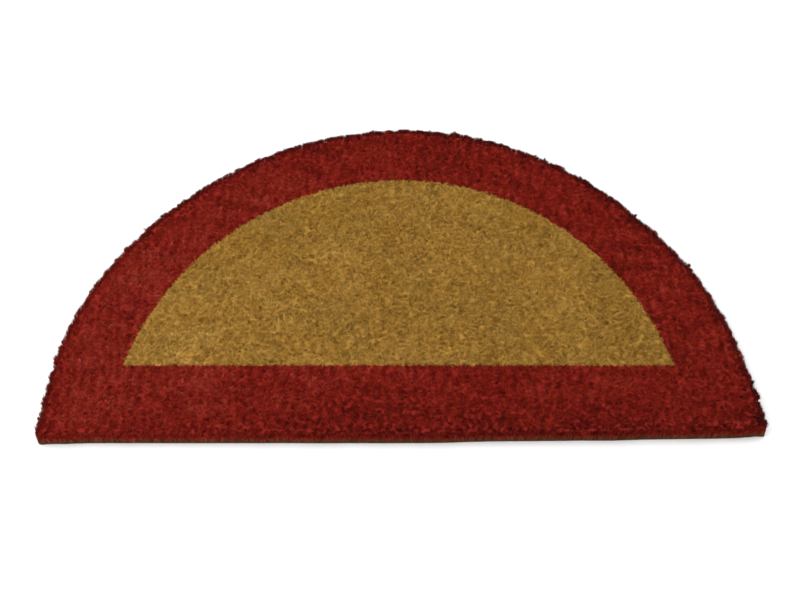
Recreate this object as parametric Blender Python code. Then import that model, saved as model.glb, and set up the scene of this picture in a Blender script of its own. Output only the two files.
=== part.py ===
"""Half-moon coir doormat, lying flat: one slab of sheared coir pile with a dyed border.

Metres. X runs along the straight front edge, +Y from that edge to the crown of the
arch, +Z up. The origin is the middle of the underside's box, on the floor.
"""

import math
from collections import namedtuple

import bmesh
import bpy
from mathutils import Vector, noise

# Driving dimensions
WIDTH = 0.700  # foot to foot of the arch, along the front edge
DEPTH = 0.400  # front edge to the crown
THICKNESS = 0.015  # floor to the sheared tips of the pile
LEFT_CORNER_RADIUS = 0.010
RIGHT_CORNER_RADIUS = 0.006
ARCH_BORDER = 0.074  # width of the dyed border, in from the arch
LEFT_BORDER = 0.0665  # and at its left foot, where the stencil lay further out
FRONT_BORDER = 0.0855  # and in from the front edge
STEP = 0.0045  # from one point of the cut edge to the next
TUFT_SIZE = 0.008  # the tufts stand out of the cut edge in lumps of about this size
TUFT_RELIEF = 0.0028  # and by at most this much, mostly less than half of it
FRONT_RELIEF = 0.4  # the share of it along the front, which is cut between two rows

HALF_WIDTH = WIDTH / 2
FINE_STEP = 0.0005  # spacing along the template before it is divided into even steps
HEART = Vector((0.0, 0.19))  # a point inside the natural centre

DYED_COIR = ("dyed coir", (0.20, 0.016, 0.010, 1.0))
NATURAL_COIR = ("natural coir", (0.33, 0.18, 0.045, 1.0))
COIR_ROUGHNESS = 0.95
SHARP_ANGLE = math.radians(40)

# A mat cut by hand strays from its template: out is how far outwards, at each place.
Drift = namedtuple("Drift", "at out")
ARCH_DRIFT = (  # at: degrees round the arch, from its right foot to its left
    Drift(at=0, out=0.0),
    Drift(at=15, out=-0.0010),
    Drift(at=28, out=0.0),
    Drift(at=42, out=-0.0020),
    Drift(at=82, out=0.0020),
    Drift(at=105, out=0.0005),
    Drift(at=129, out=-0.0015),
    Drift(at=154, out=0.0020),
    Drift(at=180, out=-0.0025),
)
FRONT_DRIFT = (  # at: metres along the front edge from its middle, +X to the right
    Drift(at=-0.350, out=0.0),
    Drift(at=-0.328, out=0.0012),
    Drift(at=-0.300, out=0.0),
    Drift(at=0.020, out=0.0),
    Drift(at=0.110, out=-0.0022),
    Drift(at=0.190, out=-0.0032),
    Drift(at=0.320, out=-0.0052),
    Drift(at=0.350, out=-0.0080),
)
FRONT_FADE = 0.040  # the height over the front edge at which its drift has died out

# The closed rings of the cut edge, from the floor up: how far each lies inside the cut
Ring = namedtuple("Ring", "name inset height")
EDGE_RINGS = (
    Ring("sole", inset=0.0012, height=0.0),
    Ring("belly", inset=0.0, height=0.0065),
    Ring("shoulder", inset=0.0010, height=0.0125),
    Ring("brow", inset=0.0038, height=THICKNESS),
)

Step = namedtuple("Step", "cut normal")


def clear_scene():
    for old in list(bpy.data.objects):
        bpy.data.objects.remove(old, do_unlink=True)


def eased(rows, at):
    """The out of a Drift table at a place, easing from each row to the next."""
    for low, high in zip(rows, rows[1:]):
        if at <= high.at:
            share = max(0.0, (at - low.at) / (high.at - low.at))
            ease = (1 - math.cos(math.pi * share)) / 2
            return low.out + (high.out - low.out) * ease
    return rows[-1].out


def arc(centre, radii, start, end):
    """Fine points round an ellipse's arc, between two angles in degrees."""
    sweep = math.radians(end - start)
    count = math.ceil(sweep * max(radii) / FINE_STEP)
    for i in range(count + 1):
        turn = math.radians(start) + sweep * i / count
        yield centre + Vector((radii[0] * math.cos(turn), radii[1] * math.sin(turn)))


def template():
    """The half moon as a fine closed path, anticlockwise from its right corner."""
    right, left = RIGHT_CORNER_RADIUS, LEFT_CORNER_RADIUS
    right_centre = Vector((HALF_WIDTH - right, right))
    left_centre = Vector((left - HALF_WIDTH, left))
    path = list(arc(right_centre, (right, right), 270, 360))
    start = math.degrees(math.asin(right / DEPTH))
    end = 180 - math.degrees(math.asin(left / DEPTH))
    path += arc(Vector((0, 0)), (HALF_WIDTH, DEPTH), start, end)
    path += arc(left_centre, (left, left), 180, 270)
    return path


def even_steps(path, count):
    """Points at equal distances along a closed path, with their outward normals."""
    closed = path + path[:1]
    along = [0.0]
    for here, there in zip(closed, closed[1:]):
        along.append(along[-1] + (there - here).length)
    stretch = 0
    for i in range(count):
        target = along[-1] * i / count
        while along[stretch + 1] <= target:
            stretch += 1
        here, there = closed[stretch], closed[stretch + 1]
        share = (target - along[stretch]) / (along[stretch + 1] - along[stretch])
        heading = (there - here).normalized()
        yield here.lerp(there, share), Vector((heading.y, -heading.x))


def front_share(normal):
    """How squarely a stretch of the cut faces the front: 1 along the front edge."""
    return normal.y**2 if normal.y < 0 else 0.0


def strayed(point, normal):
    """A point of the template where the cut really runs: out at the arch, down in front."""
    turn = math.degrees(math.atan2(point.y / DEPTH, point.x / HALF_WIDTH))
    out = eased(ARCH_DRIFT, turn) * (1 - front_share(normal))
    down = eased(FRONT_DRIFT, point.x) * max(0.0, 1 - point.y / FRONT_FADE)
    return point + normal * out - Vector((0, down))


def cut_edge():
    """The steps round the mat's cut edge, which leave out its tufts."""
    path = template()
    length = sum((b - a).length for a, b in zip(path, path[1:] + path[:1]))
    return [
        Step(strayed(point, normal), normal)
        for point, normal in even_steps(path, round(length / STEP))
    ]


def ring_point(step, ring):
    """Where a ring of the edge passes a step, with the tufts' unevenness."""
    point = (step.cut - step.normal * ring.inset).to_3d()
    point.z = ring.height
    relief = TUFT_RELIEF * (1 - (1 - FRONT_RELIEF) * front_share(step.normal))
    return point + step.normal.to_3d() * relief * noise.noise(point / TUFT_SIZE)


def dye_line_point(towards):
    """Where the line from the heart towards a point meets the edge of the natural centre."""
    way = towards - HEART
    across = HALF_WIDTH - (LEFT_BORDER if way.x < 0 else ARCH_BORDER)
    deep = DEPTH - ARCH_BORDER
    # Each half of the inner arch is a quarter ellipse, so the share solves a quadratic
    a = (way.x / across) ** 2 + (way.y / deep) ** 2
    b = HEART.x * way.x / across**2 + HEART.y * way.y / deep**2
    c = (HEART.x / across) ** 2 + (HEART.y / deep) ** 2 - 1
    share = (math.sqrt(b * b - a * c) - b) / a
    if way.y < 0:
        share = min(share, (FRONT_BORDER - HEART.y) / way.y)
    point = (HEART + way * share).to_3d()
    point.z = THICKNESS
    return point


def extrude_to(bm, top, places):
    """Extrudes the top face and sets the new one's corners to the places, in order."""
    made = bmesh.ops.extrude_face_region(bm, geom=[top])["geom"]
    raised = next(item for item in made if isinstance(item, bmesh.types.BMFace))
    for vert, place in zip(raised.verts, places):
        vert.co = place
    return raised


def shape_slab(bm):
    """Raises the slab ring by ring from its sole, and closes it at the dye line."""
    steps = cut_edge()
    sole = bm.faces.new([bm.verts.new(ring_point(s, EDGE_RINGS[0])) for s in steps])
    tops = [sole]
    for ring in EDGE_RINGS[1:]:
        places = [ring_point(step, ring) for step in steps]
        tops.append(extrude_to(bm, tops[-1], places))
    centre = extrude_to(bm, tops[-1], [dye_line_point(step.cut) for step in steps])
    centre.material_index = 1
    bmesh.ops.delete(bm, geom=tops[1:], context="FACES_ONLY")
    bmesh.ops.poke(bm, faces=[sole, centre])
    bmesh.ops.recalc_face_normals(bm, faces=bm.faces)


def set_origin(bm):
    """Moves the slab so that the middle of its underside's box is the origin."""
    middle = Vector((0, 0, 0))
    for axis in (0, 1):
        reach = [vert.co[axis] for vert in bm.verts]
        middle[axis] = (min(reach) + max(reach)) / 2
    bmesh.ops.translate(bm, vec=-middle, verts=bm.verts)


def coir_material(name, colour):
    material = bpy.data.materials.new(name)
    material.use_nodes = True
    shader = material.node_tree.nodes["Principled BSDF"]
    shader.inputs["Base Color"].default_value = colour
    shader.inputs["Roughness"].default_value = COIR_ROUGHNESS
    shader.inputs["Metallic"].default_value = 0.0
    material.diffuse_color = colour
    return material


def build_doormat(collection):
    bm = bmesh.new()
    shape_slab(bm)
    set_origin(bm)
    mesh = bpy.data.meshes.new("doormat")
    bm.to_mesh(mesh)
    bm.free()
    mesh.materials.append(coir_material(*DYED_COIR))
    mesh.materials.append(coir_material(*NATURAL_COIR))
    mesh.shade_smooth()
    mesh.set_sharp_from_angle(angle=SHARP_ANGLE)
    collection.objects.link(bpy.data.objects.new("doormat", mesh))


def main():
    clear_scene()
    collection = bpy.data.collections.new("half_moon_doormat")
    bpy.context.scene.collection.children.link(collection)
    build_doormat(collection)


main()
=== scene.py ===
"""Looks of the half-moon coir doormat: a dense pile of coarse fibres in a plain backing.

Metres, in the frame's own axes: the straight front edge faces -Y and the pile stands up
along +Z. The pile is made fibre by fibre. Tufts of short straight fibres fill the mat,
and longer bent ones stand round its cut edge, where their undyed roots show.
"""

import math
from collections import namedtuple

import bmesh
import bpy
import numpy as np
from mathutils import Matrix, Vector


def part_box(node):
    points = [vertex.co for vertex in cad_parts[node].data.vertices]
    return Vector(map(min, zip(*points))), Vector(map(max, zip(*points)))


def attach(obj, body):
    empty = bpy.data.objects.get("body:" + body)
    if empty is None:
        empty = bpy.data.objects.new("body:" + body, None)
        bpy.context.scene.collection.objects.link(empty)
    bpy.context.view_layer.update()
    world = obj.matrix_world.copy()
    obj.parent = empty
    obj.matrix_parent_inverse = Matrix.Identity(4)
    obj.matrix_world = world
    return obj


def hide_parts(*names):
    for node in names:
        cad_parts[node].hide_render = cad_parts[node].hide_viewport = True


NODE = "doormat"
BODY = "root"
SEED = 11

# Sizes of the mat that the frame's mesh is read by, and of the dyed pattern on it
BELLY_HEIGHT = 0.0065  # the ring of the solid that stands out furthest
HEIGHT_TOLERANCE = 0.0001
CUT_STEP = 0.0045  # from one point of that ring to the next
WIDTH = 0.700
DEPTH = 0.400
ARCH_BORDER = 0.074
LEFT_BORDER = 0.0665  # at the left foot of the arch
FRONT_BORDER = 0.0855
STENCIL_DEPTH = DEPTH - ARCH_BORDER  # from the front edge to the crown of the natural centre
TRUE_FRONT = (-0.28, 0.02)  # from here to there, in X, the front edge keeps to its template

# The sheared pile ends this far inside the solid's edge, since its fibres lean out there
ARCH_TRIM = 0.0014
FRONT_TRIM = 0.0028

# The backing is cut along that edge without its lumps, apart from the two front corners
TRIM_POINTS = 3  # each point is evened out with about this many on each side of it
CORNER_KEPT = 0.015  # but not at all this close to a corner
CORNER_EASE = 0.030  # and in full only this much further away
CORNER_REACH = 0.009  # the foot of the pile is squarer than its top, this close to a corner
CORNER_DRAW = 0.0012  # its own corner lies this far out, past the side and the front
CORNER_SHARE = 0.70  # and it is drawn this share of the way there

# The backing and the bed of fibres that the tufts stand in, from the floor up. The bed is
# coloured darker than the fibres' tips, as painted shade down in the pile.
Ring = namedtuple("Ring", "inset height")
BACKING_HEIGHT = 0.0018
BED_RINGS = (
    Ring(inset=0.0018, height=0.0),
    Ring(inset=0.0012, height=0.0004),
    Ring(inset=0.0012, height=0.0016),
    Ring(inset=0.0020, height=0.0020),
    Ring(inset=0.0020, height=0.0090),
    Ring(inset=0.0042, height=0.0122),
)

# A fibre's colour goes by its tone, from dark to light, and its hue, each from 0 to 1.
# Variety says by how much one differs from the next, as a standard deviation.
Fibres = namedtuple("Fibres", "spine width tone hue")
Variety = namedtuple("Variety", "tone hue lean top")
MIDDLE_HUE = 0.5
FIBRE_WIDTH = 0.00055

# The field: tufts on an uneven grid, each of a few locks of fibres that cling together
Tufts = namedtuple("Tufts", "centre tone hue lean top spread")
Locks = namedtuple("Locks", "tuft place tone hue lean top")
TUFT_PITCH = 0.0046
TUFT_JITTER = 0.28  # share of the pitch
TUFT_EDGE = 0.0030  # the outermost tufts stand this far inside the pile's edge
TUFT_LOCKS = 4
LOCK_FIBRES = 16
TUFT_VARIETY = Variety(tone=0.025, hue=0.12, lean=0.0006, top=0.00035)
LOCK_VARIETY = Variety(tone=0.025, hue=0.15, lean=0.0006, top=0.0002)
FIBRE_VARIETY = Variety(tone=0.03, hue=0.10, lean=0.0005, top=0.0002)
FIBRE_WIDTHS = (0.75, 1.3)  # at least and at most, as shares of the width
ROOT_HEIGHT = 0.0112
ROOT_VARIETY = 0.0003
ROOT_SPREAD = 0.0021  # a tuft's radius at its roots
TIP_SPREAD = (0.0022, 0.0028)  # and at its tips, at least and at most
LOCK_SPREAD = 0.28  # how far a lock's fibres stand from it, as a share of the tuft's radius
TIP_DROP = 0.0001  # how far the tips lie under the solid's top, on average
CROWN_DROP = 0.0004  # and how much lower they lie at a tuft's radius than at its centre
TIP_LIMIT = 0.0008  # no tip stands further over the solid's top than this
SHORT_TUFTS = 0.04  # the share of the tufts that stand low and leave a dark spot, partly real shade in the hollow and partly painted shade on their fibres
SHORT_DROP = 0.0008
SHORT_SHADE = 0.10
DARK_LOCKS = 0.025  # the share of the locks that are of darker fibre
DARK_LOCK_TONE = 0.34

# The tufts of the rim lean out and stand lower, and painted shade makes them darker
RIM_REACH = 0.009
RIM_LEAN = 0.0018
RIM_DROP = 0.0009
RIM_PAINTED_SHADE = 0.30
LESS_RIM_SHADE_AT_FRONT = 0.18  # this much less of it along the front

# How the field's tone and hue change from place to place
FIELD_TONE = 0.47
TONE_CLOUD = 0.04  # in wide soft patches
TONE_CLOUD_SIZE = 0.10
HUE_CLOUD = 0.18
HUE_CLOUD_SIZE = 0.06
PAINTED_LIGHT_PLACE = (-0.27, -0.08)  # a pool of painted light makes the pile a little paler around here
PAINTED_LIGHT_REACH = 0.19
DYED_PAINTED_LIGHT = 0.14
NATURAL_PAINTED_LIGHT = 0.08
FRONT_SHADE_REACH = 0.033  # and painted shade makes it a little darker this close to the front edge
FRONT_PAINTED_SHADE = 0.13
ARCH_SHADE_REACH = 0.014  # and painted shade darkens it this close to the arch
ARCH_PAINTED_SHADE = 0.12
STREAK_SIZE = 0.0075  # it shows soft streaks, this wide
STREAK_SHAPE = 0.30  # their width as a share of their length, which runs along Y
DYED_STREAK_TONE = 0.085
NATURAL_STREAK_TONE = 0.04
DYE_WOBBLE = 0.0008  # how far a fibre strays over the edge of the stencil
DYE_LINE_REACH = 0.0022  # the dye has gathered, and is darker, this close to the stencil
DYE_LINE_TONE = 0.10
PALE_LINE_TONE = 0.06  # and the natural coir beside it looks paler

# The fibres of the cut edge stand in a strip along it. The outermost lean out furthest
# and are cut lowest, and all of them bow and stand out in lumps.
EDGE_FIBRES = 26000
EDGE_RINGS = 4
EDGE_VARIETY = Variety(tone=0.10, hue=0.25, lean=0.0006, top=0.0006)
EDGE_WIDTHS = (0.7, 1.1)
EDGE_FOOT = 0.0012  # the height of their feet, in the backing
EDGE_INSET = 0.0010  # from the edge to the strip
EDGE_STRIP = 0.0032  # the strip's width
EDGE_LEAN = 0.0002
OUTER_LEAN = 0.0016
LUMP_SIZE = 0.008
LUMP_LEAN = 0.0008
EDGE_SWAY = 0.0016  # along the cut, as a standard deviation
EDGE_BOW = (-0.0004, 0.0012)  # outwards, at least and at most
EDGE_DROP = 0.0002
OUTER_DROP = 0.0028
DROP_CURVE = 1.5  # these grow by such a power of the way outwards, or up a fibre
LEAN_CURVE = 1.5
SWAY_CURVE = 1.3
BRIM_CURVE = 0.7
EDGE_TONE = 0.34
LUMP_TONE = 0.06
BACK_SHADE = 0.10  # painted shade makes them darker along the back, and the outermost darkest
OUTER_BACK_SHADE = 0.20

# A field of clouds is a sum of waves, whose lengths are shares of the clouds' size
WAVES = 24
WAVE_SIZES = (0.7, 1.6)
WAVE_PEAK = 1.5  # the standard deviations that count as 1

# The fibres' map has a row for each of a few hues, along which the tone runs and across
# which the height does
HUE_ROWS = 8
ROW_MARGIN = 0.05
ROW_FILL = 0.9
MAP_HEIGHT = 1.1  # the share of the solid's height that the map goes up to
MAP_HALF_WIDTH = 0.0016
TONE_LIMITS = (0.02, 0.98)
HUE_LIMITS = (0, 0.999)

NEAREST_BATCH = 4000  # the places that are measured against the outline together
NEARLY_LEVEL = 0.000001  # a drop that counts as none

BLACK = (0.0, 0.0, 0.0)
WHITE = (1.0, 1.0, 1.0)

# Colours of the coir by its tone, from dark to light. Dyed coir is crimson at hue 0 and
# brick at hue 1, natural coir is straw and gold, and the roots of both are undyed.
CRIMSON = (
    (0.0, (0.030, 0.003, 0.003)),
    (0.25, (0.14, 0.007, 0.006)),
    (0.5, (0.29, 0.016, 0.009)),
    (1.0, (0.50, 0.082, 0.062)),
)
BRICK = (
    (0.0, (0.030, 0.004, 0.002)),
    (0.25, (0.14, 0.010, 0.004)),
    (0.5, (0.29, 0.021, 0.007)),
    (1.0, (0.50, 0.100, 0.050)),
)
STRAW = ((0.0, (0.15, 0.078, 0.014)), (0.5, (0.43, 0.270, 0.060)), (1.0, (0.72, 0.51, 0.17)))
GOLD = ((0.0, (0.15, 0.064, 0.008)), (0.5, (0.43, 0.240, 0.037)), (1.0, (0.72, 0.45, 0.11)))
UNDYED = ((0.0, (0.09, 0.036, 0.013)), (1.0, (0.30, 0.125, 0.038)))
COIR_ROUGHNESS = ((0.0, (0.92, 0.92, 0.92)), (1.0, (0.70, 0.70, 0.70)))
COIR_SHEEN = 0.08

# By its height, as a share of the solid's: how far the colour of its tip has taken there,
# and how much light gets down to it
COLOUR_TAKEN = ((0.28, BLACK), (0.68, WHITE))
DEPTH_SHADE = ((0.1, (0.45, 0.39, 0.34)), (0.72, (0.85, 0.81, 0.77)), (0.95, WHITE))

# The slab under the tufts, in the order of its materials. Its two beds are coloured darker
# than the fibres' tips, as painted shade down in the pile.
Speckle = namedtuple("Speckle", "name dark light scale")
SLAB_LOOKS = (
    Speckle("latex backing", (0.030, 0.022, 0.014), (0.075, 0.050, 0.028), scale=500.0),
    Speckle("dyed bed", (0.120, 0.007, 0.005), (0.24, 0.014, 0.010), scale=900.0),
    Speckle("natural bed", (0.200, 0.108, 0.021), (0.38, 0.205, 0.042), scale=900.0),
)
LATEX, DYED_BED, NATURAL_BED = range(3)
DARK_SPECKLE = 0.3  # the noise is all dark below this, and all light above that
LIGHT_SPECKLE = 0.7
SPECKLE_DETAIL = 3.0
SLAB_ROUGHNESS = 0.92
SLAB_SHEEN = 0.1
BUMP_STRENGTH = 0.4
BUMP_DISTANCE = 0.0004

# The sockets of a Mix node that mixes colours, by number, as several have the same name
MIX_FACTOR = 0
MIX_A = 6
MIX_B = 7
MIX_RESULT = 2

# The camera is placed by its distance and elevation from its target. Its lens and sensor
# are in millimetres.
CAMERA_TARGET = Vector((-0.002, -0.0252, 0.0))
CAMERA_DISTANCE = 1.6
CAMERA_ELEVATION = math.radians(52.9)
CAMERA_LENS = 70.5
CAMERA_SENSOR = 36.0

# A plain pale floor, even light from all round and a soft lamp at the front left
FLOOR_SIZE = 8.0
FLOOR_COLOUR = (0.62, 0.62, 0.62)
FLOOR_ROUGHNESS = 0.9
SKY_STRENGTH = 1.9
KEY_PLACE = Vector((-0.95, -0.55, 1.15))
KEY_TARGET = Vector((0, 0, 0))
KEY_SIZE = 1.6
KEY_POWER = 12  # watts


class Outline:
    """The mat's cut edge seen from above: a closed row of points, anticlockwise."""

    def __init__(self, points):
        self.points = points
        self.way = np.roll(points, -1, axis=0) - points
        self.length = np.linalg.norm(self.way, axis=1)
        heading = self.way / self.length[:, None]
        self.normal = np.stack([heading[:, 1], -heading[:, 0]], 1)
        self.corner_normal = self.normal + np.roll(self.normal, 1, axis=0)
        self.corner_normal /= np.linalg.norm(self.corner_normal, axis=1)[:, None]

    def nearest(self, places):
        """How far inside the edge each place is, and the outward normal of the edge there."""
        depth = np.empty(len(places))
        normal = np.empty((len(places), 2))
        for start in range(0, len(places), NEAREST_BATCH):
            batch = slice(start, start + NEAREST_BATCH)
            away = places[batch, None] - self.points[None]
            share = (away * self.way).sum(2) / self.length**2
            share = share.clip(0, 1)
            gap = np.linalg.norm(away - share[:, :, None] * self.way, axis=2)
            best = gap.argmin(1)
            row = np.arange(len(best))
            side = (away[row, best] * self.normal[best]).sum(1)
            depth[batch] = gap[row, best] * np.where(side < 0, 1, -1)
            normal[batch] = self.normal[best]
        return depth, normal

    def at(self, step):
        """Places and outward normals, where step 2.5 is halfway from point 2 to point 3."""
        side = step.astype(int) % len(self.points)
        share = (step % 1)[:, None]
        place = self.points[side] + share * self.way[side]
        after = (side + 1) % len(self.points)
        normal = (1 - share) * self.corner_normal[side] + share * self.corner_normal[after]
        return place, normal / np.linalg.norm(normal, axis=1)[:, None]

    def trimmed(self, kept):
        """The same edge without its lumps, apart from what is close to the places kept."""
        furthest = 3 * TRIM_POINTS
        steps = np.arange(-furthest, furthest + 1)
        weights = np.exp(-0.5 * (steps / TRIM_POINTS) ** 2)
        mean = sum(w * np.roll(self.points, -i, axis=0) for i, w in zip(steps, weights))
        mean /= weights.sum()
        away = np.linalg.norm(self.points[:, None] - np.array(kept), axis=2).min(1)
        share = ((away - CORNER_KEPT) / CORNER_EASE).clip(0, 1)[:, None]
        return Outline(self.points + (mean - self.points) * share)

    def squared(self):
        """The same edge with its two front corners drawn out to a sharper point."""
        x, y = self.points.T
        drawn = self.points.copy()
        for side in (-1, 1):
            reach = (x * side).max()
            front = y[x * side > reach - CORNER_REACH].min()
            corner = np.array((side * (reach + CORNER_DRAW), front - CORNER_DRAW))
            away = np.linalg.norm(self.points - corner, axis=1)
            share = CORNER_SHARE * np.exp(-((away / CORNER_REACH) ** 2))
            drawn += (corner - self.points) * share[:, None]
        return Outline(drawn)

    def inset(self, distance):
        """The points of the same edge, moved in by this much."""
        return self.points - self.corner_normal * distance


def solid_outline(mesh):
    """The widest ring of the CAD solid, put in order round the mat."""
    places = np.array([v.co for v in mesh.vertices])
    widest = np.abs(places[:, 2] - BELLY_HEIGHT) < HEIGHT_TOLERANCE
    ring = np.unique(places[widest, :2], axis=0)
    turn = np.arctan2(ring[:, 1], ring[:, 0])
    return Outline(ring[np.argsort(turn)])


def template_front(outline):
    """The Y of the straight front edge, which the pattern is measured from."""
    x, y = outline.points.T
    low, high = TRUE_FRONT
    return y[(x > low) & (x < high) & (y < 0)].mean()


def pile_outline(outline):
    """The edge of the sheared pile, a little inside the solid's."""
    facing_front = np.minimum(outline.corner_normal[:, 1], 0) ** 2
    trim = ARCH_TRIM + (FRONT_TRIM - ARCH_TRIM) * facing_front
    return Outline(outline.inset(trim[:, None]))


# The frame, and the edges in it that the rest is measured from
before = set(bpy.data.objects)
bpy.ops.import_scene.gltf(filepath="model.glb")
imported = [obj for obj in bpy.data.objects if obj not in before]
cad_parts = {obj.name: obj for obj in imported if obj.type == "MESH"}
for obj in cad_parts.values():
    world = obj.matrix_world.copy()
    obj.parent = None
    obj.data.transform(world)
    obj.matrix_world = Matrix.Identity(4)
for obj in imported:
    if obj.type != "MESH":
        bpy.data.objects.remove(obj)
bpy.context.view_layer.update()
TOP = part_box(NODE)[1][2]
SOLID_EDGE = solid_outline(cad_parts[NODE].data)
FRONT = template_front(SOLID_EDGE)
PILE_EDGE = pile_outline(SOLID_EDGE)
BACKING_EDGE = PILE_EDGE.trimmed(kept=((-WIDTH / 2, FRONT), (WIDTH / 2, FRONT)))
FOOT_EDGE = BACKING_EDGE.squared()


def stencil_half_width(x):
    """Half the width of the natural centre, on the side of the mat that X is on."""
    return WIDTH / 2 - np.where(x < 0, LEFT_BORDER, ARCH_BORDER)


def past_stencil(places):
    """How far each place lies outside the natural centre, and below zero inside it."""
    x, up = places[:, 0], places[:, 1] - FRONT
    past_arch = (np.hypot(x / stencil_half_width(x), up / STENCIL_DEPTH) - 1) * STENCIL_DEPTH
    return np.maximum(past_arch, FRONT_BORDER - up)


def painted_light(places):
    """How much painted light brightens the pile at each place: 1 at the left foot, dying out
    around it.
    """
    away = np.linalg.norm(places - PAINTED_LIGHT_PLACE, axis=1)
    return np.exp(-((away / PAINTED_LIGHT_REACH) ** 2))


def disc(rng, count):
    """Places spread evenly over a disc of radius 1."""
    turn = rng.uniform(0, math.tau, count)
    reach = np.sqrt(rng.uniform(0, 1, count))
    return reach[:, None] * np.stack([np.cos(turn), np.sin(turn)], 1)


def clouds(places, rng, size):
    """A soft uneven field, mostly from -1 to 1, whose patches are about this size."""
    turn = rng.uniform(0, math.tau, WAVES)
    wave = math.tau / (size * rng.uniform(*WAVE_SIZES, WAVES))
    phase = rng.uniform(0, math.tau, WAVES)
    slope = np.stack([np.cos(turn), np.sin(turn)]) * wave
    return np.sin(places @ slope + phase).sum(1) * math.sqrt(2 / WAVES) / WAVE_PEAK


def tuft_centres(rng):
    """A jittered triangular grid of tufts, with how far inside the cut each one is."""
    low, high = PILE_EDGE.points.min(0), PILE_EDGE.points.max(0)
    rows = np.arange(low[1], high[1], TUFT_PITCH * math.sqrt(3) / 2)
    places = []
    for i, y in enumerate(rows):
        xs = np.arange(low[0] + (i % 2) * TUFT_PITCH / 2, high[0], TUFT_PITCH)
        places.append(np.stack([xs, np.full(len(xs), y)], 1))
    places = np.concatenate(places)
    places += disc(rng, len(places)) * TUFT_PITCH * TUFT_JITTER
    depth, normal = PILE_EDGE.nearest(places)
    inside = depth > TUFT_EDGE
    return places[inside], depth[inside], normal[inside]


def grow_tufts(rng):
    """The field's tufts: their places, colours, leans, heights and radii at the tips."""
    centre, depth, normal = tuft_centres(rng)
    count = len(centre)
    facing_front = np.minimum(normal[:, 1], 0) ** 2
    # how far into the rim a tuft stands: it leans the tuft out, lowers it and darkens it with
    # painted shade
    at_rim = np.clip(1 - (depth - TUFT_EDGE) / RIM_REACH, 0, 1)
    beside_front = np.exp(-(((centre[:, 1] - FRONT) / FRONT_SHADE_REACH) ** 2))
    beside_arch = np.exp(-((depth / ARCH_SHADE_REACH) ** 2)) * (1 - facing_front)
    # a pool of painted light, paler near the left foot
    light_pool = painted_light(centre)
    light_pool_tone = np.where(past_stencil(centre) > 0, DYED_PAINTED_LIGHT, NATURAL_PAINTED_LIGHT)

    tone = FIELD_TONE + TONE_CLOUD * clouds(centre, rng, TONE_CLOUD_SIZE)
    tone += TUFT_VARIETY.tone * rng.normal(size=count)
    # painted shade along the front edge, less inside the pool of painted light
    tone -= FRONT_PAINTED_SHADE * beside_front * (1 - light_pool)
    # painted shade along the arch
    tone -= ARCH_PAINTED_SHADE * beside_arch
    tone += light_pool_tone * light_pool
    hue = MIDDLE_HUE + HUE_CLOUD * clouds(centre, rng, HUE_CLOUD_SIZE)
    hue += TUFT_VARIETY.hue * rng.normal(size=count)
    lean = TUFT_VARIETY.lean * rng.normal(size=(count, 2))
    lean += normal * (at_rim * RIM_LEAN)[:, None]
    short = rng.uniform(size=count) < SHORT_TUFTS
    # painted shade darkens the short tufts in their hollows, and the tufts of the rim
    tone -= SHORT_SHADE * short + (RIM_PAINTED_SHADE - LESS_RIM_SHADE_AT_FRONT * facing_front) * at_rim
    top = TOP - TIP_DROP + TUFT_VARIETY.top * rng.normal(size=count) - RIM_DROP * at_rim
    top -= SHORT_DROP * short
    spread = rng.uniform(*TIP_SPREAD, count)
    return Tufts(centre, tone, hue, lean, top, spread)


def grow_locks(rng, tufts):
    """The locks of every tuft: their places in it, colours, leans and heights."""
    tuft = np.repeat(np.arange(len(tufts.centre)), TUFT_LOCKS)
    count = len(tuft)
    place = disc(rng, count)
    lean = LOCK_VARIETY.lean * rng.normal(size=(count, 2))
    tone = tufts.tone[tuft] + LOCK_VARIETY.tone * rng.normal(size=count)
    tone -= DARK_LOCK_TONE * (rng.uniform(size=count) < DARK_LOCKS)
    hue = tufts.hue[tuft] + LOCK_VARIETY.hue * rng.normal(size=count)
    top = tufts.top[tuft] + LOCK_VARIETY.top * rng.normal(size=count)
    return Locks(tuft, place, tone, hue, lean, top)


def grow_field(rng):
    """Every fibre of the field, from its root to its sheared tip, and whether it is dyed."""
    tufts = grow_tufts(rng)
    locks = grow_locks(rng, tufts)
    lock = np.repeat(np.arange(len(locks.tuft)), LOCK_FIBRES)
    tuft = locks.tuft[lock]
    count = len(lock)

    place = locks.place[lock] + LOCK_SPREAD * rng.normal(size=(count, 2))
    root = tufts.centre[tuft] + place * ROOT_SPREAD
    tip = tufts.centre[tuft] + place * tufts.spread[tuft][:, None]
    tip += tufts.lean[tuft]
    tip += locks.lean[lock]
    tip += FIBRE_VARIETY.lean * rng.normal(size=(count, 2))
    root_height = ROOT_HEIGHT + ROOT_VARIETY * rng.normal(size=count)
    tip_height = locks.top[lock] + FIBRE_VARIETY.top * rng.normal(size=count)
    tip_height -= CROWN_DROP * np.linalg.norm(place, axis=1) ** 2
    tip_height = np.minimum(tip_height, TOP + TIP_LIMIT)
    ends = [np.column_stack([root, root_height]), np.column_stack([tip, tip_height])]

    past = past_stencil(tip + DYE_WOBBLE * rng.normal(size=(count, 2)))
    dyed = past > 0
    tone = locks.tone[lock] + FIBRE_VARIETY.tone * rng.normal(size=count)
    streaks = clouds(tip * (1, STREAK_SHAPE), rng, STREAK_SIZE)
    tone += np.where(dyed, DYED_STREAK_TONE, NATURAL_STREAK_TONE) * streaks
    beside_line = np.exp(-((past / DYE_LINE_REACH) ** 2))
    tone += np.where(dyed, -DYE_LINE_TONE, PALE_LINE_TONE) * beside_line
    hue = locks.hue[lock] + FIBRE_VARIETY.hue * rng.normal(size=count)
    width = FIBRE_WIDTH * rng.uniform(*FIBRE_WIDTHS, count)
    return Fibres(np.stack(ends, axis=1), width, tone, hue), dyed


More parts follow.
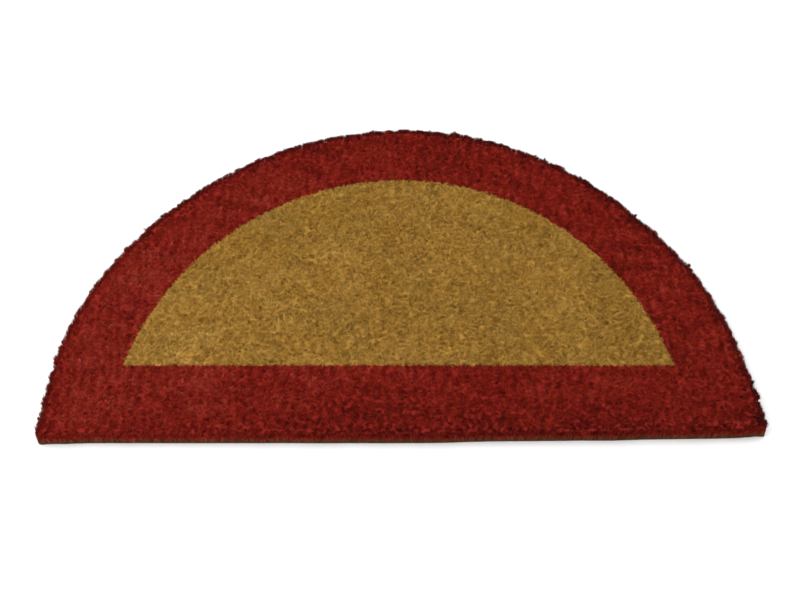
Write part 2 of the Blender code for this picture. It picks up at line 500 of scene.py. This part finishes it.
def grow_edge(rng):
    """The longer fibres that stand in the backing round the cut and lean out over it."""
    step = rng.uniform(0, len(PILE_EDGE.points), EDGE_FIBRES)
    foot, _ = FOOT_EDGE.at(step)
    brim, normal = PILE_EDGE.at(step)
    heading = np.stack([-normal[:, 1], normal[:, 0]], 1)
    along = step * CUT_STEP
    lump = clouds(np.column_stack([along, np.zeros(EDGE_FIBRES)]), rng, LUMP_SIZE)
    inset = EDGE_INSET + EDGE_STRIP * rng.uniform(0, 1, EDGE_FIBRES)
    outermost = 1 - (inset - EDGE_INSET) / EDGE_STRIP
    lean = EDGE_LEAN + OUTER_LEAN * outermost + LUMP_LEAN * lump
    lean += EDGE_VARIETY.lean * rng.normal(size=EDGE_FIBRES)
    sway = EDGE_SWAY * rng.normal(size=EDGE_FIBRES)
    top = TOP - EDGE_DROP - OUTER_DROP * outermost**DROP_CURVE
    top += EDGE_VARIETY.top * rng.normal(size=EDGE_FIBRES)
    bow = rng.uniform(*EDGE_BOW, EDGE_FIBRES)

    spine = []
    for i in range(EDGE_RINGS):
        share = i / (EDGE_RINGS - 1)
        out = lean * share**LEAN_CURVE + bow * math.sin(math.pi * share) - inset
        side = sway * share**SWAY_CURVE
        place = foot + (brim - foot) * share**BRIM_CURVE
        place += normal * out[:, None]
        place += heading * side[:, None]
        spine.append(np.column_stack([place, EDGE_FOOT + (top - EDGE_FOOT) * share]))

    facing_back = (1 + normal[:, 1]) / 2
    tone = EDGE_TONE + LUMP_TONE * lump + EDGE_VARIETY.tone * rng.normal(size=EDGE_FIBRES)
    # the same pool of painted light, on the edge fibres
    tone += DYED_PAINTED_LIGHT * painted_light(brim)
    # painted shade on the edge fibres along the back
    tone -= (BACK_SHADE + OUTER_BACK_SHADE * outermost) * facing_back
    hue = MIDDLE_HUE + EDGE_VARIETY.hue * rng.normal(size=EDGE_FIBRES)
    width = FIBRE_WIDTH * rng.uniform(*EDGE_WIDTHS, EDGE_FIBRES)
    return Fibres(np.stack(spine, axis=1), width, tone, hue)


def fibre_shapes(fibres, rng):
    """Corners of every fibre's flat strip, and the faces of one strip by its corners.

    A strip is turned at random about its own length. A short fibre is one triangle, whose
    point stands in the pile and whose blunt end is the tip. A long one is a row of quads.
    """
    spine = fibres.spine
    count, rings = spine.shape[:2]
    run = spine[:, -1] - spine[:, 0]
    run /= np.linalg.norm(run, axis=1)[:, None]
    turn = rng.uniform(0, math.pi, count)
    any_way = np.column_stack([np.cos(turn), np.sin(turn), np.zeros(count)])
    across = np.cross(run, any_way)
    across /= np.linalg.norm(across, axis=1)[:, None]
    half = across * (fibres.width / 2)[:, None]
    if rings == 2:
        root, tip = spine[:, 0], spine[:, 1]
        return np.stack([root, tip - half, tip + half], axis=1), np.array([(0, 1, 2)])
    half = half[:, None]
    corners = np.stack([spine - half, spine + half], axis=2).reshape(count, -1, 3)
    return corners, np.arange(0, 2 * rings - 2, 2)[:, None] + (0, 1, 3, 2)


def fibre_mesh(name, fibres, rng):
    """One mesh of all the fibres, with what their colour depends on at every corner."""
    places, faces = fibre_shapes(fibres, rng)
    count, corners = places.shape[:2]
    mesh = bpy.data.meshes.new(name)
    mesh.vertices.add(count * corners)
    mesh.vertices.foreach_set("co", places.astype(np.float32).ravel())
    loops = (np.arange(count)[:, None, None] * corners + faces).ravel()
    mesh.loops.add(len(loops))
    mesh.loops.foreach_set("vertex_index", loops.astype(np.int32))
    sides = faces.shape[1]
    mesh.polygons.add(len(loops) // sides)
    mesh.polygons.foreach_set("loop_start", np.arange(0, len(loops), sides, dtype=np.int32))
    mesh.update(calc_edges=True)

    tone = fibres.tone.clip(*TONE_LIMITS)
    row = (fibres.hue.clip(*HUE_LIMITS) * HUE_ROWS).astype(int)
    height = places[:, :, 2] / TOP
    put_attribute(mesh, "tone", np.repeat(tone, corners))
    put_attribute(mesh, "hue", np.repeat((row + 0.5) / HUE_ROWS, corners))
    put_attribute(mesh, "height", height.ravel())
    lay_out(mesh, loops, tone, row, height)
    return mesh


def put_attribute(mesh, name, values):
    """Keep a number with every corner of the mesh, for the material to read."""
    layer = mesh.attributes.new(name, "FLOAT", "POINT")
    layer.data.foreach_set("value", values.astype(np.float32))


def lay_out(mesh, loops, tone, row, height):
    """A UV map by tone, hue and height, which are all that a fibre's colour depends on."""
    side = np.arange(height.shape[1]) % 2 * 2 - 1
    u = tone[:, None] + side * MAP_HALF_WIDTH
    rise = ROW_FILL * height.clip(0, MAP_HEIGHT) / MAP_HEIGHT
    v = (row[:, None] + ROW_MARGIN + rise) / HUE_ROWS
    uv = np.stack([u, v], axis=-1).reshape(-1, 2)[loops]
    layer = mesh.uv_layers.new(name="OFBake")
    layer.uv.foreach_set("vector", uv.astype(np.float32).ravel())


def node(tree, kind, **inputs):
    """A new node of this kind, with its inputs set by their names."""
    made = tree.nodes.new(kind)
    for name, value in inputs.items():
        made.inputs[name].default_value = value
    return made


def ramp(tree, source, stops):
    """The colour between these stops that the source picks."""
    made = tree.nodes.new("ShaderNodeValToRGB")
    elements = made.color_ramp.elements
    while len(elements) < len(stops):
        elements.new(0.5)
    for element, (place, colour) in zip(elements, stops):
        element.position = place
        element.color = (*colour, 1.0)
    tree.links.new(source, made.inputs["Fac"])
    return made.outputs["Color"]


def attribute(tree, name):
    """The number that the mesh keeps under this name."""
    made = tree.nodes.new("ShaderNodeAttribute")
    made.attribute_name = name
    return made.outputs["Fac"]


def mixed(tree, kind, factor, a, b):
    """Two colours mixed. Each value is a constant or another node's output."""
    made = tree.nodes.new("ShaderNodeMix")
    made.data_type = "RGBA"
    made.blend_type = kind
    for socket, value in ((MIX_FACTOR, factor), (MIX_A, a), (MIX_B, b)):
        if isinstance(value, bpy.types.NodeSocket):
            tree.links.new(value, made.inputs[socket])
        else:
            made.inputs[socket].default_value = value
    return made.outputs[MIX_RESULT]


def new_material(name, sheen):
    """A plain material, with its nodes and its shader."""
    material = bpy.data.materials.new(name)
    material.use_nodes = True
    shader = material.node_tree.nodes["Principled BSDF"]
    shader.inputs["Specular IOR Level"].default_value = sheen
    return material, material.node_tree, shader


def coir_material(name, first_hue, last_hue):
    """Coir whose colour goes by the fibre's tone and hue, and darkens towards its root."""
    material, tree, shader = new_material(name, COIR_SHEEN)
    tone = attribute(tree, "tone")
    hue = attribute(tree, "hue")
    height = attribute(tree, "height")
    rough = ramp(tree, tone, COIR_ROUGHNESS)
    tree.links.new(rough, shader.inputs["Roughness"])
    colour = mixed(tree, "MIX", hue, ramp(tree, tone, first_hue), ramp(tree, tone, last_hue))
    taken = ramp(tree, height, COLOUR_TAKEN)
    colour = mixed(tree, "MIX", taken, ramp(tree, tone, UNDYED), colour)
    shade = ramp(tree, height, DEPTH_SHADE)
    colour = mixed(tree, "MULTIPLY", 1.0, colour, shade)
    tree.links.new(colour, shader.inputs["Base Color"])
    return material


def speckled_material(look):
    """A matt surface whose colour and height both go by a fine noise."""
    material, tree, shader = new_material(look.name, SLAB_SHEEN)
    shader.inputs["Roughness"].default_value = SLAB_ROUGHNESS
    speckle = node(tree, "ShaderNodeTexNoise", Scale=look.scale, Detail=SPECKLE_DETAIL)
    place = tree.nodes.new("ShaderNodeTexCoord")
    tree.links.new(place.outputs["Object"], speckle.inputs["Vector"])
    stops = ((DARK_SPECKLE, look.dark), (LIGHT_SPECKLE, look.light))
    colour = ramp(tree, speckle.outputs["Fac"], stops)
    tree.links.new(colour, shader.inputs["Base Color"])
    bump = node(tree, "ShaderNodeBump", Strength=BUMP_STRENGTH, Distance=BUMP_DISTANCE)
    tree.links.new(speckle.outputs["Fac"], bump.inputs["Height"])
    tree.links.new(bump.outputs["Normal"], shader.inputs["Normal"])
    return material


def dye_line():
    """The stencil's edge, at as many points as the outline has and in step with it.

    The way from the middle of the mat to each point of the outline meets the stencil
    either in its arch, which is part of an ellipse, or in its straight front.
    """
    middle = np.array((0.0, FRONT + DEPTH / 2))
    way = PILE_EDGE.points - middle
    start = DEPTH / 2 / STENCIL_DEPTH
    wide = way[:, 0] / stencil_half_width(way[:, 0])
    deep = way[:, 1] / STENCIL_DEPTH
    square = wide**2 + deep**2
    rise = deep * start
    to_arch = (np.sqrt(rise * rise - square * (start**2 - 1)) - rise) / square
    drop = np.maximum(-way[:, 1], NEARLY_LEVEL)
    to_front = (middle[1] - (FRONT + FRONT_BORDER)) / drop
    return middle + way * np.minimum(to_arch, to_front)[:, None]


def slab_mesh():
    """The backing with the bed of the pile on it, as one closed slab in stacked rings."""
    bm = bmesh.new()
    rings = []
    for ring in BED_RINGS:
        edge = FOOT_EDGE if ring.height < BACKING_HEIGHT else BACKING_EDGE
        places = edge.inset(ring.inset)
        rings.append([bm.verts.new((x, y, ring.height)) for x, y in places])
    height = BED_RINGS[-1].height
    rings.append([bm.verts.new((x, y, height)) for x, y in dye_line()])
    for low, high in zip(rings, rings[1:]):
        for i in range(len(low)):
            j = (i + 1) % len(low)
            face = bm.faces.new((low[i], low[j], high[j], high[i]))
            face.material_index = LATEX if low[0].co.z < BACKING_HEIGHT else DYED_BED
    sole = bm.faces.new(rings[0][::-1])
    centre = bm.faces.new(rings[-1])
    centre.material_index = NATURAL_BED
    bmesh.ops.poke(bm, faces=[sole, centre])
    mesh = bpy.data.meshes.new("backing")
    bm.to_mesh(mesh)
    bm.free()
    return mesh


def put_piece(name, mesh, slot_name, *materials):
    """A piece of the mat in the scene, riding on the mat's body."""
    piece = bpy.data.objects.new(name, mesh)
    bpy.context.scene.collection.objects.link(piece)
    for material in materials:
        mesh.materials.append(material)
    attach(piece, BODY)
    return piece


def some_of(fibres, chosen):
    """The fibres that are chosen, by a true or false for each."""
    return Fibres(*(values[chosen] for values in fibres))


def stretch(x, cuts):
    """The number of the stretch between the cuts that each X is in, from the left."""
    return np.searchsorted(cuts, x, side="right")


def build_pile():
    """The field in three dyed and two natural stretches, and the fibres of the cut edge."""
    rng = np.random.default_rng(SEED)
    field, dyed = grow_field(rng)
    edge = grow_edge(rng)
    red = coir_material("dyed coir", CRIMSON, BRICK)
    gold = coir_material("natural coir", STRAW, GOLD)
    x = field.spine[:, 0, 0]
    third = stretch(x, np.quantile(x[dyed], (1 / 3, 2 / 3)))
    half = stretch(x, (0.0,))
    pieces = []
    for i, side in enumerate(("left", "middle", "right")):
        name = f"dyed_pile_{side}"
        mesh = fibre_mesh(name, some_of(field, dyed & (third == i)), rng)
        pieces.append(put_piece(name, mesh, "dyed_coir", red))
    for i, side in enumerate(("left", "right")):
        name = f"natural_pile_{side}"
        mesh = fibre_mesh(name, some_of(field, ~dyed & (half == i)), rng)
        pieces.append(put_piece(name, mesh, "natural_coir", gold))
    mesh = fibre_mesh("cut_edge", edge, rng)
    pieces.append(put_piece("cut_edge", mesh, "dyed_coir", red))
    return pieces


def aim(obj, way):
    """Turn a camera or a light so that it looks this way."""
    obj.rotation_euler = way.to_track_quat("-Z", "Y").to_euler()


def set_camera():
    """The camera at the angle of the photo, facing the straight edge."""
    data = bpy.data.cameras.new("camera")
    data.lens = CAMERA_LENS
    data.sensor_width = CAMERA_SENSOR
    camera = bpy.data.objects.new("camera", data)
    away = Vector((0, -math.cos(CAMERA_ELEVATION), math.sin(CAMERA_ELEVATION)))
    camera.location = CAMERA_TARGET + away * CAMERA_DISTANCE
    aim(camera, -away)
    bpy.context.scene.collection.objects.link(camera)
    bpy.context.scene.camera = camera


def set_floor():
    """A plain pale floor under the mat."""
    bpy.ops.mesh.primitive_plane_add(size=FLOOR_SIZE, location=(0, 0, 0))
    floor = bpy.context.object
    floor.name = "floor"
    material = bpy.data.materials.new("floor")
    material.use_nodes = True
    shader = material.node_tree.nodes["Principled BSDF"]
    shader.inputs["Base Color"].default_value = (*FLOOR_COLOUR, 1.0)
    shader.inputs["Roughness"].default_value = FLOOR_ROUGHNESS
    floor.data.materials.append(material)


def set_light():
    """White light from all round, and one soft lamp."""
    world = bpy.data.worlds.new("studio")
    world.use_nodes = True
    sky = world.node_tree.nodes["Background"]
    sky.inputs["Color"].default_value = (*WHITE, 1.0)
    sky.inputs["Strength"].default_value = SKY_STRENGTH
    bpy.context.scene.world = world
    data = bpy.data.lights.new("key", "AREA")
    data.shape = "DISK"
    data.size = KEY_SIZE
    data.energy = KEY_POWER
    key = bpy.data.objects.new("key", data)
    key.location = KEY_PLACE
    aim(key, KEY_TARGET - KEY_PLACE)
    bpy.context.scene.collection.objects.link(key)
    bpy.context.scene.view_settings.view_transform = "Standard"


set_camera()
set_floor()
set_light()
pile = build_pile()
slab_materials = [speckled_material(look) for look in SLAB_LOOKS]
backing = put_piece("backing", slab_mesh(), "backing", *slab_materials)
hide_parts(NODE)
